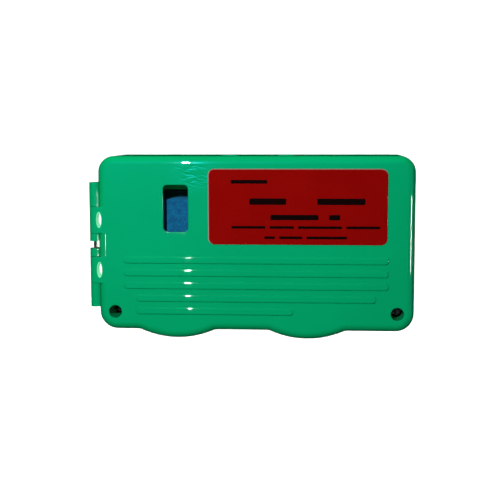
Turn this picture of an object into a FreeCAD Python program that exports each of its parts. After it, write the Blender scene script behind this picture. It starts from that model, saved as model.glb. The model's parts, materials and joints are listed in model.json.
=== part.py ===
# Fibre optic cleaning cassette: a two-shell case with an end lever, feed slide, shutter and tape drive.
# X runs along the case, Y across it, Z out of the front face. The origin is the middle of the flat back.
import FreeCAD
import Part
import math
import os
import Sketcher

# Driving sizes in millimetres, each with what it measures.
DRIVING = [
    ("case_width", 121.2, "case, left side to right side"),
    ("case_height", 67.0, "case, straight bottom edge to top edge"),
    ("case_depth", 32.0, "case, back to front face"),
    ("wall", 2.0, "case wall"),
    ("corner_top", 6.2, "plan radius of the two top corners"),
    ("corner_low", 7.0, "plan radius of the two bottom corners"),
    ("edge_round", 3.0, "rounding of the front and back edges"),
    ("seam_height", 16.0, "height of the joint between the shells"),
    ("seam_bevel", 0.3, "bevel on both sides of the joint"),
    ("bulge_radius", 34.6, "radius of the two bottom bulges"),
    ("bulge_drop", 3.25, "how far a bulge hangs below the bottom edge"),
    ("bulge_blend", 4.0, "hollow radius where a bulge meets the edge"),
    ("supply_x", -30.3, "axis of the supply reel"),
    ("takeup_x", 19.8, "axis of the take-up reel"),
    ("reel_y", -3.7, "height of both reel axes on the case"),
    ("window_x", -30.4, "middle of the tape window"),
    ("window_drop", 11.0, "upper edge of the tape window below the top side"),
    ("window_width", 9.6, "tape window"),
    ("window_height", 18.0, "tape window"),
    ("window_corner", 1.6, "tape window corner radius"),
    ("rim_round", 0.3, "rounding of the window rim and the well rims"),
    ("label_x", 16.1, "middle of the label"),
    ("label_drop", 4.8, "upper edge of the label below the top side"),
    ("label_width", 68.0, "label"),
    ("label_height", 28.8, "label"),
    ("label_corner", 2.4, "label corner radius"),
    ("label_thick", 0.4, "label plate"),
    ("label_sunk", 0.15, "depth of the label seat"),
    ("rib_width", 2.7, "grip rib on the front face"),
    ("rib_rise", 0.5, "grip rib above the front face"),
    ("rib_first", -6.3, "middle of the first rib"),
    ("rib_pitch", 4.93, "rib to rib"),
    ("rib_inset", 9.8, "ends of the three long ribs in from the sides"),
    ("rib_inset_low", 14.5, "ends of the two lower ribs in from the sides"),
    ("rib_last", 60.8, "length of the fifth rib"),
    ("screw_side", 6.4, "case screws in from the left and right sides"),
    ("screw_rise", 7.0, "case screws up from the bottom edge"),
    ("well_width", 4.9, "screw well diameter"),
    ("seat_thick", 2.5, "screw seat above the joint"),
    ("boss_width", 6.6, "screw boss diameter"),
    ("thread_width", 2.2, "screw shank diameter"),
    ("peg_width", 2.4, "locating peg diameter"),
    ("peg_inset", 5.0, "locating pegs in from the sides"),
    ("hinge_reach", 1.35, "hinge axis outside the left side"),
    ("barrel_width", 4.2, "hinge barrel diameter"),
    ("pin_width", 1.3, "hinge pin diameter"),
    ("hinge_y", -0.6, "middle of the hinge"),
    ("lug_length", 10.1, "case lug along the pin"),
    ("outer_arm", 9.35, "outer lever arm along the pin"),
    ("inner_arm", 3.15, "inner lever arm along the pin"),
    ("arm_gap", 2.9, "open gap between the inner arms"),
    ("hinge_play", 0.15, "end play of each arm"),
    ("eyelet_width", 2.0, "oval eyelet in a lug"),
    ("eyelet_length", 5.9, "oval eyelet along the pin"),
    ("eyelet_inset", 0.5, "middle of the eyelet in from the left side"),
    ("running_fit", 0.05, "radial clearance of turning fits"),
    ("lever_margin", 4.3, "ends of the lever plate in from the low corners"),
    ("lever_thick", 1.8, "lever plate"),
    ("lever_drop", 6.6, "upper edge of the lever plate below the front face"),
    ("lever_gap", 0.3, "gap around the lever plate"),
    ("lip_reach", 0.7, "stop lips beyond the ends of the lever plate"),
    ("slide_drop", 14.5, "upper edge of the feed slide below the top side"),
    ("slide_width", 8.0, "feed slide bar"),
    ("slide_thick", 2.0, "feed slide plate"),
    ("stroke", 7.0, "travel of the feed slide"),
    ("slot_pitch", 22.0, "cleaning slot to cleaning slot"),
    ("slot_width", 6.5, "cleaning slot along the case"),
    ("slot_margin", 1.5, "ends of a cleaning slot in from the edges of the tape"),
    ("shutter_thick", 1.3, "shutter plate"),
    ("shutter_lap", 7.0, "shutter beyond the middle of the last slot"),
    ("tape_headroom", 3.7, "tape to the inside of the front face"),
    ("tape_thick", 0.25, "free run of the tape"),
    ("hub_radius", 7.5, "reel hubs"),
    ("supply_radius", 20.8, "supply roll"),
    ("takeup_radius", 10.0, "take-up roll"),
    ("flange_thick", 1.0, "reel flanges"),
    ("spindle_radius", 3.5, "reel spindles"),
    ("tip_radius", 2.0, "spindle tips that hold the caps"),
    ("felt_thick", 1.0, "drag felt"),
    ("roller_radius", 3.2, "guide rollers"),
    ("roller_pin", 1.2, "guide roller pin radius"),
    ("roller_left", 13.6, "left guide roller in from the left side"),
    ("roller_right", 18.6, "right guide roller in from the right side"),
    ("roller_drop", 8.0, "guide rollers below the top side"),
    ("roller_rim", 1.2, "guide roller rims beyond the rollers"),
    ("ratchet_tip", 12.0, "ratchet wheel over the teeth"),
    ("ratchet_root", 10.4, "ratchet wheel at the roots"),
    ("ratchet_thick", 2.0, "ratchet wheel and drive pawl"),
    ("pawl_pin", 2.2, "drive pawl pin diameter"),
    ("pad_length", 36.0, "cleaning pad along the tape"),
    ("pad_thick", 1.8, "cleaning pad"),
    ("leg_length", 20.0, "leg of the pad bridge along the tape"),
    ("bridge_peg", 2.6, "pad bridge peg diameter"),
    ("spring_face", -3.0, "face of the post that the return spring rests on"),
    ("spring_length", 13.0, "return spring at rest"),
    ("spring_radius", 1.05, "return spring coil to the middle of its wire"),
    ("spring_wire", 0.22, "return spring wire radius"),
    ("post_inset", 14.6, "brake leaf post in from the right side"),
    ("moving_gap", 0.3, "gap between parts that move past each other"),
]
RATCHET_TEETH = 20
SUPPLY_RING_COUNT = 7
TAKEUP_RING_COUNT = 2
GRIP_RIDGES = 5
SPRING_TURNS = 7

doc = FreeCAD.newDocument("cleaning_cassette")
sheet = doc.addObject("Spreadsheet::Sheet", "Sizes")


class Size:
    """A length with its value and the sheet expression that it comes from."""

    def __init__(self, value, text):
        self.value = value
        self.text = text

    def join(self, other, sign, value):
        return Size(value, "(" + self.text + " " + sign + " " + other.text + ")")

    def __add__(self, other):
        other = as_size(other)
        return self.join(other, "+", self.value + other.value)

    def __sub__(self, other):
        other = as_size(other)
        return self.join(other, "-", self.value - other.value)

    def __mul__(self, other):
        other = as_size(other)
        return self.join(other, "*", self.value * other.value)

    def __truediv__(self, other):
        other = as_size(other)
        return self.join(other, "/", self.value / other.value)

    def __radd__(self, other):
        return as_size(other) + self

    def __rsub__(self, other):
        return as_size(other) - self

    def __rmul__(self, other):
        return as_size(other) * self

    def __neg__(self):
        return Size(-self.value, "(0 - " + self.text + ")")


def as_size(number):
    return number if isinstance(number, Size) else Size(float(number), repr(float(number)))


def root(size):
    return Size(math.sqrt(size.value), "sqrt(" + size.text + ")")


class Sizes:
    """The driving sizes by name."""


s = Sizes()
for row, (alias, value, meaning) in enumerate(DRIVING, start=1):
    sheet.set("A" + str(row), str(value))
    sheet.setAlias("A" + str(row), alias)
    sheet.set("B" + str(row), meaning)
doc.recompute()
for alias, value, meaning in DRIVING:
    setattr(s, alias, Size(float(sheet.get(alias)), "Sizes." + alias))


# Helpers that draw bound sketches and build features from them.


def bind(item, path, size):
    item.setExpression(path, as_size(size).text)


def new_body(label):
    body = doc.addObject("PartDesign::Body", label)
    body.Label = label
    return body


def new_sketch(body, plane, name, offset=0.0):
    """A sketch on XY, XZ or YZ of the body, at that place along the third axis."""
    sketch = body.newObject("Sketcher::SketchObject", body.Name + "_" + name)
    support = [item for item in body.Origin.OriginFeatures if item.Role == plane + "_Plane"][0]
    sketch.AttachmentSupport = [(support, "")]
    sketch.MapMode = "FlatFace"
    away = as_size(offset)
    bind(sketch, "AttachmentOffset.Base.z", -away if plane == "XZ" else away)
    return sketch


def hold_point(sketch, geometry, position, x, y):
    """Ties one point of the sketch to two sizes."""
    for kind, size in (("DistanceX", x), ("DistanceY", y)):
        if size is None:
            continue
        size = as_size(size)
        index = sketch.addConstraint(Sketcher.Constraint(kind, -1, 1, geometry, position, size.value))
        sketch.setExpression("Constraints[" + str(index) + "]", size.text)


def circle(sketch, x, y, radius):
    x, y, radius = as_size(x), as_size(y), as_size(radius)
    middle = FreeCAD.Vector(x.value, y.value, 0)
    index = sketch.addGeometry(Part.Circle(middle, FreeCAD.Vector(0, 0, 1), radius.value), False)
    hold_point(sketch, index, 3, x, y)
    held = sketch.addConstraint(Sketcher.Constraint("Radius", index, radius.value))
    sketch.setExpression("Constraints[" + str(held) + "]", radius.text)


def curve_between(start, end, arc):
    """A line from start to end, or an arc about a middle point, counterclockwise for turn 1."""
    first = FreeCAD.Vector(start[0].value, start[1].value, 0)
    last = FreeCAD.Vector(end[0].value, end[1].value, 0)
    if arc is None:
        return Part.LineSegment(first, last)
    middle = FreeCAD.Vector(as_size(arc[0]).value, as_size(arc[1]).value, 0)
    begin = math.atan2(first.y - middle.y, first.x - middle.x)
    finish = math.atan2(last.y - middle.y, last.x - middle.x)
    sweep = (finish - begin) * arc[2] % (2 * math.pi) * arc[2]
    half = begin + sweep / 2
    radius = first.distanceToPoint(middle)
    between = middle + FreeCAD.Vector(math.cos(half), math.sin(half), 0) * radius
    return Part.Arc(first, between, last)


def trace(sketch, path):
    """A closed outline of corners (x, y, arc), where arc shapes the edge to the next corner."""
    corners = [(as_size(x), as_size(y), arc) for x, y, arc in path]
    count = len(corners)
    ends = []
    for number, (x, y, arc) in enumerate(corners):
        index = sketch.addGeometry(curve_between((x, y), corners[(number + 1) % count], arc), False)
        first = sketch.getPoint(index, 1)
        forward = abs(first.x - x.value) + abs(first.y - y.value) < 1e-6
        ends.append((index, 1 if forward else 2, 2 if forward else 1))
    for number, (x, y, arc) in enumerate(corners):
        index, start, end = ends[number]
        follower, follower_start = ends[(number + 1) % count][:2]
        sketch.addConstraint(Sketcher.Constraint("Coincident", index, end, follower, follower_start))
        hold_point(sketch, index, start, x, y)
        if arc is not None:
            beyond = corners[(number + 1) % count]
            flat = abs(beyond[0].value - x.value) > abs(beyond[1].value - y.value)
            hold_point(sketch, index, 3, None if flat else arc[0], arc[1] if flat else None)


def polygon(sketch, points):
    trace(sketch, [(x, y, None) for x, y in points])


def rectangle(sketch, left, right, low, high):
    polygon(sketch, [(left, low), (right, low), (right, high), (left, high)])


def rounded(sketch, x, y, width, height, radius):
    """A rectangle about its middle with rounded corners."""
    left, right = x - width / 2, x + width / 2
    low, high = y - height / 2, y + height / 2
    trace(sketch, [
        (left + radius, low, None),
        (right - radius, low, (right - radius, low + radius, 1)),
        (right, low + radius, None),
        (right, high - radius, (right - radius, high - radius, 1)),
        (right - radius, high, None),
        (left + radius, high, (left + radius, high - radius, 1)),
        (left, high - radius, None),
        (left, low + radius, (left + radius, low + radius, 1)),
    ])


def pad(body, sketch, length, flip=False):
    feature = body.newObject("PartDesign::Pad", sketch.Name + "_pad")
    feature.Profile = sketch
    bind(feature, "Length", length)
    feature.Reversed = flip
    return feature


def pocket(body, sketch, length, flip=False):
    feature = body.newObject("PartDesign::Pocket", sketch.Name + "_cut")
    feature.Profile = sketch
    bind(feature, "Length", length)
    feature.Reversed = flip
    return feature


def box(body, name, x, y, z):
    """A block between pairs of sizes."""
    sketch = new_sketch(body, "XY", name, z[0])
    rectangle(sketch, x[0], x[1], y[0], y[1])
    return pad(body, sketch, as_size(z[1]) - z[0])


def box_cut(body, name, x, y, z):
    """A block cut away between pairs of sizes."""
    sketch = new_sketch(body, "XY", name, z[1])
    rectangle(sketch, x[0], x[1], y[0], y[1])
    return pocket(body, sketch, as_size(z[1]) - z[0])


def discs(body, name, places, radius, low, high):
    """Upright cylinders at the places, from low to high."""
    sketch = new_sketch(body, "XY", name, low)
    for x, y in places:
        circle(sketch, x, y, radius)
    return pad(body, sketch, as_size(high) - low)


def bores(body, name, places, radius, low, high):
    """Upright round holes at the places, from high down to low."""
    sketch = new_sketch(body, "XY", name, high)
    for x, y in places:
        circle(sketch, x, y, radius)
    return pocket(body, sketch, as_size(high) - low)


def dress(body, kind, name, size, chosen):
    """Rounds or bevels the edges that the test picks."""
    doc.recompute()
    base = body.Tip
    names = ["Edge" + str(n) for n, edge in enumerate(base.Shape.Edges, start=1) if chosen(edge)]
    feature = body.newObject("PartDesign::" + kind, body.Name + "_" + name)
    feature.Base = (base, names)
    bind(feature, "Radius" if kind == "Fillet" else "Size", size)
    return feature


def at_height(height):
    return lambda edge: abs(edge.BoundBox.ZMin - height) < 1e-4 and abs(edge.BoundBox.ZMax - height) < 1e-4


# Places that several parts share.
left_side = -s.case_width / 2
right_side = s.case_width / 2
low_side = -s.case_height / 2
top_side = s.case_height / 2
hinge_x = left_side - s.hinge_reach
hinge_z = s.case_depth - s.barrel_width / 2
barrel = s.barrel_width / 2
window_y = top_side - s.window_drop - s.window_height / 2
label_y = top_side - s.label_drop - s.label_height / 2
supply = (s.supply_x, s.reel_y)
takeup = (s.takeup_x, s.reel_y)
screw_x = right_side - s.screw_side
screw_y = low_side + s.screw_rise
screws = [(-screw_x, screw_y), (screw_x, screw_y)]
well_seat = s.seam_height + s.seat_thick
roller_y = top_side - s.roller_drop
rollers = [(left_side + s.roller_left, roller_y), (right_side - s.roller_right, roller_y)]
slide_floor = s.wall + s.moving_gap
slide_top = slide_floor + s.slide_thick
slide_high = top_side - s.slide_drop
slide_low = slide_high - s.slide_width
slide_middle = (slide_low + slide_high) / 2
lever_half = s.case_height / 2 - s.corner_low - s.lever_margin
lever_low = slide_floor + s.lever_gap
lever_top = s.case_depth - s.lever_drop
lever_opening_top = lever_top + 2.2
arm_foot = lever_top - 1.0
ratchet_low = slide_top + s.moving_gap
ratchet_high = ratchet_low + s.ratchet_thick
tape_floor = ratchet_high + 0.4 + s.flange_thick + s.moving_gap
tape_top = s.case_depth - s.wall - s.tape_headroom
slot_floor = tape_floor + s.slot_margin
slot_top = tape_top - s.slot_margin
slot_places = [-s.slot_pitch / 2, s.slot_pitch / 2]
shutter_high = top_side - s.wall - s.moving_gap
shutter_low = shutter_high - s.shutter_thick
shutter_left = -s.slot_pitch / 2 - s.stroke - s.shutter_lap
shutter_right = s.slot_pitch / 2 + s.shutter_lap
seat_high = tape_floor - s.flange_thick - s.moving_gap
felt_low = seat_high - s.moving_gap - s.felt_thick
spindle_high = tape_top + s.moving_gap
tape_line = roller_y + s.roller_radius + s.moving_gap
peg_y = top_side - s.peg_inset
pegs = [(left_side + s.peg_inset, peg_y), (right_side - s.peg_inset, peg_y)]
bridge_peg_x = s.leg_length * 0.3
bridge_pegs = [(-bridge_peg_x, roller_y - 1.5), (bridge_peg_x, roller_y - 1.5)]
arm_left, arm_right = shutter_left + 1.0, s.slot_pitch / 2 + 3.0
arm_width = as_size(4.0)
post_x = right_side - s.post_inset
post_low, post_high = s.reel_y - 15.3, s.reel_y - 11.3

# Stretches of the hinge along the pin, outwards from its middle, as (near, far).
inner_near = s.arm_gap / 2
lug_near = inner_near + s.inner_arm
outer_near = lug_near + s.lug_length
hinge_far = outer_near + s.outer_arm
lug_spans = [
    (s.hinge_y + lug_near, s.hinge_y + outer_near),
    (s.hinge_y - outer_near, s.hinge_y - lug_near),
]
arm_spans = [
    (s.hinge_y + inner_near, s.hinge_y + lug_near - s.hinge_play),
    (s.hinge_y + outer_near + s.hinge_play, s.hinge_y + hinge_far),
    (s.hinge_y - lug_near + s.hinge_play, s.hinge_y - inner_near),
    (s.hinge_y - hinge_far, s.hinge_y - outer_near - s.hinge_play),
]


def case_outline(sketch, inset):
    """The plan of the case with its two bottom bulges, drawn in by the inset."""
    left, right = left_side + inset, right_side - inset
    low, high = low_side + inset, top_side - inset
    upper, lower = s.corner_top - inset, s.corner_low - inset
    bulge_y = low_side + s.bulge_radius - s.bulge_drop
    blend_y = low_side - s.bulge_blend
    reach = s.bulge_radius + s.bulge_blend
    half = root(reach * reach - (reach - s.bulge_drop) * (reach - s.bulge_drop))
    share = (s.bulge_radius - inset) / reach
    meet_x = half * share
    meet_y = bulge_y + (blend_y - bulge_y) * share
    path = [(left + lower, low, None)]
    for x in (s.supply_x, s.takeup_x):
        path += [
            (x - half, low, (x - half, blend_y, -1)),
            (x - meet_x, meet_y, (x, bulge_y, 1)),
            (x + meet_x, meet_y, (x + half, blend_y, -1)),
            (x + half, low, None),
        ]
    path += [
        (right - lower, low, (right - lower, low + lower, 1)),
        (right, low + lower, None),
        (right, high - upper, (right - upper, high - upper, 1)),
        (right - upper, high, None),
        (left + upper, high, (left + upper, high - upper, 1)),
        (left, high - upper, None),
        (left, low + lower, (left + lower, low + lower, 1)),
    ]
    trace(sketch, path)


def cut_cleaning_slots(body, low, high):
    """The stretch of both cleaning slots that lies in one shell."""
    for number, x in enumerate(slot_places):
        box_cut(body, "slot" + "ab"[number], (x - s.slot_width / 2, x + s.slot_width / 2),
                (top_side - s.wall - 0.5, top_side + 0.5), (low, high))


def cut_lever_opening(body, low, high):
    """The stretch of the lever opening that lies in one shell."""
    half = lever_half + s.lever_gap
    box_cut(body, "opening", (left_side - 0.5, left_side + s.wall + 0.5), (-half, half), (low, high))


def rim_about(places, width):
    """Picks the edges of the front face that lie within that width about the places."""
    def chosen(edge):
        middle = edge.BoundBox.Center
        near = [abs(middle.x - x.value) + abs(middle.y - y.value) < width for x, y in places]
        return any(near) and at_height(s.case_depth.value)(edge) and edge.BoundBox.DiagonalLength < 2 * width
    return chosen


# Front shell: front face, window, ribs, label seat, screw wells and hinge lugs.
front = new_body("front_shell")
sketch = new_sketch(front, "XY", "plan", s.seam_height)
case_outline(sketch, as_size(0))
pad(front, sketch, s.case_depth - s.seam_height)
dress(front, "Fillet", "front_edge", s.edge_round, at_height(s.case_depth.value))
dress(front, "Chamfer", "seam", s.seam_bevel, at_height(s.seam_height.value))
sketch = new_sketch(front, "XY", "hollow", s.seam_height)
case_outline(sketch, s.wall)
pocket(front, sketch, s.case_depth - s.wall - s.seam_height, flip=True)
discs(front, "bosses", screws, s.boss_width / 2, s.seam_height, s.case_depth - s.wall / 2)
bores(front, "wells", screws, s.well_width / 2, well_seat, s.case_depth)
dress(front, "Fillet", "well_rims", s.rim_round, rim_about(screws, s.well_width.value))
bores(front, "shank_holes", screws, s.thread_width / 2 + s.moving_gap, s.seam_height, well_seat)
discs(front, "sockets", pegs, s.peg_width, s.seam_height, s.case_depth - s.wall / 2)
sketch = new_sketch(front, "XY", "peg_holes", s.seam_height)
for x, y in pegs:
    circle(sketch, x, y, s.peg_width / 2)
pocket(front, sketch, as_size(4.0), flip=True)
sketch = new_sketch(front, "XY", "window", s.case_depth)
rounded(sketch, s.window_x, window_y, s.window_width, s.window_height, s.window_corner)
pocket(front, sketch, s.wall + 0.5)
dress(front, "Fillet", "window_rim", s.rim_round, rim_about([(s.window_x, window_y)], s.window_height.value))
sketch = new_sketch(front, "XY", "label_seat", s.case_depth)
rounded(sketch, s.label_x, label_y, s.label_width + 0.2, s.label_height + 0.2, s.label_corner + 0.1)
pocket(front, sketch, s.label_sunk)
cut_lever_opening(front, s.seam_height, lever_opening_top)
cut_cleaning_slots(front, s.seam_height, slot_top)


def oval(sketch, x, y, across, along):
    """A slim oval of two arcs, with its half width and its half length."""
    bow = (along * along - across * across) / (across * 2)
    trace(sketch, [
        (x, y - along, (x - bow, y, 1)),
        (x, y + along, (x + bow, y, 1)),
    ])


def add_rib(number, left, right):
    """A low bar with round ends on the front face."""
    y = s.rib_first - s.rib_pitch * number
    half = s.rib_width / 2
    sketch = new_sketch(front, "XY", "rib" + "abcde"[number], s.case_depth - 0.3)
    trace(sketch, [
        (left + half, y - half, None),
        (right - half, y - half, (right - half, y, 1)),
        (right - half, y + half, None),
        (left + half, y + half, (left + half, y, 1)),
    ])
    pad(front, sketch, s.rib_rise + 0.3)


for number in range(3):
    add_rib(number, left_side + s.rib_inset, right_side - s.rib_inset)
add_rib(3, left_side + s.rib_inset_low, right_side - s.rib_inset_low)
add_rib(4, left_side + s.rib_inset_low, left_side + s.rib_inset_low + s.rib_last)
dress(front, "Fillet", "rib_edges", s.rib_rise * 0.9, at_height((s.case_depth + s.rib_rise).value))

for number, (near, far) in enumerate(arm_spans):
    box_cut(front, "notch" + "abcd"[number], (left_side - 0.5, left_side + s.wall + 0.5),
            (near - s.moving_gap, far + s.moving_gap), (arm_foot - s.moving_gap, hinge_z))
    sketch = new_sketch(front, "XZ", "groove" + "abcd"[number], near - s.moving_gap)
    circle(sketch, hinge_x, hinge_z, barrel + s.moving_gap)
    pocket(front, sketch, far - near + s.moving_gap * 2)
for number, (near, far) in enumerate(lug_spans):
    sketch = new_sketch(front, "XZ", "lug" + "ab"[number], near)
    under = hinge_z - barrel
    trace(sketch, [
        (hinge_x, s.case_depth, (hinge_x, hinge_z, 1)),
        (hinge_x, under, None),
        (left_side + s.wall, under, None),
        (left_side + s.edge_round + 1.0, s.case_depth - s.wall, None),
        (left_side + s.edge_round + 1.0, s.case_depth, None),
    ])
    pad(front, sketch, far - near, flip=True)
    sketch = new_sketch(front, "XY", "eyelet" + "ab"[number], s.case_depth)
    oval(sketch, left_side + s.eyelet_inset, (near + far) / 2, s.eyelet_width / 2, s.eyelet_length / 2)
    pocket(front, sketch, as_size(5.0))
sketch = new_sketch(front, "XZ", "pin_hole", s.hinge_y - hinge_far)
circle(sketch, hinge_x, hinge_z, s.pin_width / 2)
pocket(front, sketch, hinge_far * 2)

# Rear shell: flat back, reel spindles, bosses, pegs, slide rails and the spring post.
rear = new_body("rear_shell")
sketch = new_sketch(rear, "XY", "plan")
case_outline(sketch, as_size(0))
pad(rear, sketch, s.seam_height)
dress(rear, "Fillet", "back_edge", s.edge_round, at_height(0.0))
dress(rear, "Chamfer", "seam", s.seam_bevel, at_height(s.seam_height.value))
sketch = new_sketch(rear, "XY", "hollow", s.seam_height)
case_outline(sketch, s.wall)
pocket(rear, sketch, s.seam_height - s.wall)
floor = s.wall - 0.5
discs(rear, "bosses", screws, s.boss_width / 2, floor, s.seam_height)
bores(rear, "pilots", screws, s.thread_width / 2, s.wall + 2.0, s.seam_height)
discs(rear, "peg_posts", pegs, s.peg_width, floor, s.seam_height)
discs(rear, "pegs", pegs, s.peg_width / 2, s.seam_height - 0.5, s.seam_height + 3.5)
discs(rear, "supply_seat", [supply], s.hub_radius, floor, felt_low)
discs(rear, "takeup_seat", [takeup], s.spindle_radius + 2.0, floor, slide_top)
discs(rear, "spindles", [supply, takeup], s.spindle_radius, floor, spindle_high)
discs(rear, "spindle_tips", [supply, takeup], s.tip_radius, spindle_high - 0.5, spindle_high + 1.2)
discs(rear, "roller_bosses", rollers, s.roller_pin + 1.6, floor, tape_floor - 1.2)
bores(rear, "roller_holes", rollers, s.roller_pin, s.wall, tape_floor - 1.2)
discs(rear, "bridge_pegs", bridge_pegs, s.bridge_peg / 2, floor, s.wall + 5.0)
rail_left, rail_high = left_side + s.post_inset, slide_floor + 1.2
high_rail = (slide_high + 0.4, slide_high + 1.6)
box(rear, "low_rail", (rail_left, s.takeup_x + 10.2), (slide_low - 1.8, slide_low - 0.4), (floor, rail_high))
box(rear, "high_rail_left", (rail_left, arm_left - 3.0), high_rail, (floor, rail_high))
box(rear, "high_rail_right", (arm_left + arm_width + s.stroke + 1.0, arm_right - 2.0), high_rail,
    (floor, rail_high))
box(rear, "spring_post", (s.spring_face, s.spring_face + 1.8), (slide_middle - 1.4, slide_middle + 1.4),
    (floor, slide_top + 2.7))
box(rear, "leaf_post", (post_x, post_x + 2.4), (post_low, post_high), (floor, tape_floor + 2.0))
cut_lever_opening(rear, slide_floor, s.seam_height)
cut_cleaning_slots(rear, slot_floor, s.seam_height)

# Label plate on the front face.
label = new_body("label_plate")
sketch = new_sketch(label, "XY", "plan", s.case_depth - s.label_sunk)
rounded(sketch, s.label_x, label_y, s.label_width, s.label_height, s.label_corner)
pad(label, sketch, s.label_thick)
dress(label, "Fillet", "edge", as_size(0.12), at_height((s.case_depth - s.label_sunk + s.label_thick).value))

# Case screws in the two bottom corners, made once and mirrored.
screw = new_body("case_screw")
discs(screw, "head", [screws[1]], s.well_width / 2 - s.moving_gap, well_seat, well_seat + 1.8)
discs(screw, "shank", [screws[1]], s.thread_width / 2, s.wall + 4.0, well_seat)
for number, (across, along) in enumerate(((1.3, 0.28), (0.28, 1.3))):
    box_cut(screw, "cross" + "ab"[number], (screw_x - across, screw_x + across),
            (screw_y - along, screw_y + along), (well_seat + 0.8, well_seat + 1.8))
other_screw = doc.addObject("Part::Mirroring", "other_screw")
other_screw.Source = screw
other_screw.Normal = FreeCAD.Vector(1, 0, 0)
case_screws = doc.addObject("Part::Compound", "case_screws")
case_screws.Links = [screw, other_screw]

# Hinge pin, pressed into the lugs.
hinge_pin = doc.addObject("Part::Cylinder", "hinge_pin")
bind(hinge_pin, "Radius", s.pin_width / 2)
bind(hinge_pin, "Height", hinge_far * 2 - 0.6)
hinge_pin.Placement.Rotation = FreeCAD.Rotation(FreeCAD.Vector(1, 0, 0), -90)
bind(hinge_pin, "Placement.Base.x", hinge_x)
bind(hinge_pin, "Placement.Base.y", s.hinge_y - hinge_far + 0.3)
bind(hinge_pin, "Placement.Base.z", hinge_z)

# Thumb lever: end plate, four arms on the pin, nose, stop lips and grip ridges.
lever = new_body("thumb_lever")
plate_in = left_side + s.lever_thick
box(lever, "plate", (left_side, plate_in), (-lever_half, lever_half), (lever_low, lever_top))
for number, (near, far) in enumerate(arm_spans):
    sketch = new_sketch(lever, "XZ", "arm" + "abcd"[number], near)
    knee = hinge_z - 1.8
    trace(sketch, [
        (hinge_x + barrel, hinge_z, (hinge_x, hinge_z, 1)),
        (hinge_x - barrel, hinge_z, None),
        (hinge_x - barrel, knee, None),
        (left_side, arm_foot, None),
        (plate_in, arm_foot, None),
        (plate_in, lever_top, None),
        (hinge_x + barrel, knee, None),
    ])
    pad(lever, sketch, far - near, flip=True)
sketch = new_sketch(lever, "XZ", "pin_hole", s.hinge_y - hinge_far)
circle(sketch, hinge_x, hinge_z, s.pin_width / 2 + s.running_fit)
pocket(lever, sketch, hinge_far * 2)
nose_tip = plate_in + 2.5
nose_low = slide_high - 5.0
box(lever, "nose", (plate_in - 0.5, nose_tip), (nose_low, slide_high), (lever_low, lever_low + 1.6))
lip_out = left_side + s.wall + s.moving_gap
lip_low = lever_top - 7.4
for number, side in enumerate((1, -1)):
    inner, outer = (lever_half - 1.5) * side, (lever_half + s.lip_reach) * side
    low, high = (inner, outer) if side > 0 else (outer, inner)
    box(lever, "lip" + "ab"[number], (lip_out, lip_out + 1.0), (low, high), (lip_low, lever_top))
    foot = lever_half * side
    low, high = (inner, foot) if side > 0 else (foot, inner)
    box(lever, "lip_foot" + "ab"[number], (plate_in - 0.5, lip_out + 1.0), (low, high), (lip_low, lever_top))
for number in range(GRIP_RIDGES):
    z = lever_low + 2.0 + 2.0 * number
    box(lever, "ridge" + "abcde"[number], (left_side - 0.4, left_side + 0.3), (-10.0, 10.0), (z, z + 1.0))

# Feed slide: bar under the reels, upstand for the lever's nose, arms to the shutter.
slide = new_body("feed_slide")
bar_left = nose_tip + s.moving_gap
bar_right = s.takeup_x + 8.2
sketch = new_sketch(slide, "XY", "plan", slide_floor)
polygon(sketch, [
    (bar_left, slide_low),
    (bar_right, slide_low),
    (bar_right, slide_high),
    (arm_right + arm_width, slide_high),
    (arm_right + arm_width, shutter_low),
    (arm_right, shutter_low),
    (arm_right, slide_high),
    (arm_left + arm_width, slide_high),
    (arm_left + arm_width, shutter_low),
    (arm_left, shutter_low),
    (arm_left, slide_high),
    (bar_left, slide_high),
])
pad(slide, sketch, s.slide_thick)
box(slide, "upstand", (bar_left, bar_left + 1.6), (nose_low, slide_high),
    (slide_floor + 0.5, slide_floor + 5.3))
tab_face = s.spring_face - s.spring_length
tab_span = (slide_middle - 1.8, slide_middle + 1.8)
box(slide, "spring_tab", (tab_face - 1.6, tab_face), tab_span, (slide_floor + 0.5, slide_top + 2.7))
box_cut(slide, "post_slot", (s.spring_face - 0.4 - s.stroke, s.spring_face + 2.2), tab_span,
        (slide_floor, slide_top))
pawl_pivot = (s.takeup_x - 10.0, slide_low + 1.6)
discs(slide, "pawl_pin", [pawl_pivot], s.pawl_pin / 2, slide_floor + 0.5, ratchet_high)

# Shutter: plate inside the top wall, its openings one stroke short of the case's slots.
shutter = new_body("shutter")
box(shutter, "plate", (shutter_left, shutter_right), (shutter_low, shutter_high),
    (slide_floor, s.case_depth - s.wall - 2.0))
for number, x in enumerate(slot_places):
    middle = x - s.stroke
    box_cut(shutter, "slot" + "ab"[number], (middle - s.slot_width / 2, middle + s.slot_width / 2),
            (shutter_low, shutter_high), (slot_floor, slot_top))

# Drive pawl on the slide, its tip behind a tooth of the ratchet.
pawl = new_body("drive_pawl")
tip_x = s.takeup_x - s.ratchet_tip * math.sin(2 * math.pi / RATCHET_TEETH) - 0.1
tip_y = s.reel_y + s.ratchet_tip * 0.9
sketch = new_sketch(pawl, "XY", "plan", ratchet_low)
polygon(sketch, [
    (tip_x, tip_y),
    (tip_x, tip_y + 2.2),
    (pawl_pivot[0] + 1.5, pawl_pivot[1] + 1.9),
    (pawl_pivot[0] - 1.9, pawl_pivot[1] + 1.9),
    (pawl_pivot[0] - 1.9, pawl_pivot[1] - 1.9),
    (pawl_pivot[0] + 1.5, pawl_pivot[1] - 1.9),
    (tip_x - 1.6, tip_y + 2.0),
])
pad(pawl, sketch, ratchet_high - ratchet_low)
bores(pawl, "pivot", [pawl_pivot], s.pawl_pin / 2, ratchet_low, ratchet_high)

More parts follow.
